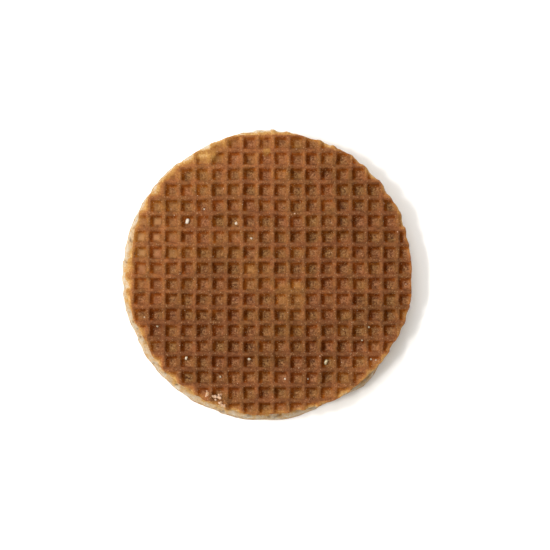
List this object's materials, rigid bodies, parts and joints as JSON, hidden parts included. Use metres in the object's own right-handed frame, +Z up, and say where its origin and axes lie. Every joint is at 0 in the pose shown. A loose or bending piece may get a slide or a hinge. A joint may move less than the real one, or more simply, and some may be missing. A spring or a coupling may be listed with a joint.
{
  "type": "stroopwafel",
  "caption": "Round stroopwafel lying flat: thin browned waffle halves with a square grid of pits, pale crumb at the cut edge and caramel syrup between them.",
  "frame": {"origin": "middle of the whole waffle's base, on the surface that it lies on", "axes": "+Z up through the thickness; the ribs of the baked grid run along X and Y"},
  "size_m": [0.0996, 0.1, 0.0085],
  "materials": {
    "baked_wafer": "browned waffle crust, satin on the ribs and pits, with pale porous crumb where it is cut",
    "caramel_syrup": "glossy dark amber caramel"
  },
  "bodies": {
    "root": {"wafer_top": "baked_wafer", "syrup": "caramel_syrup", "wafer_bottom": "baked_wafer"}
  },
  "joints": []
}
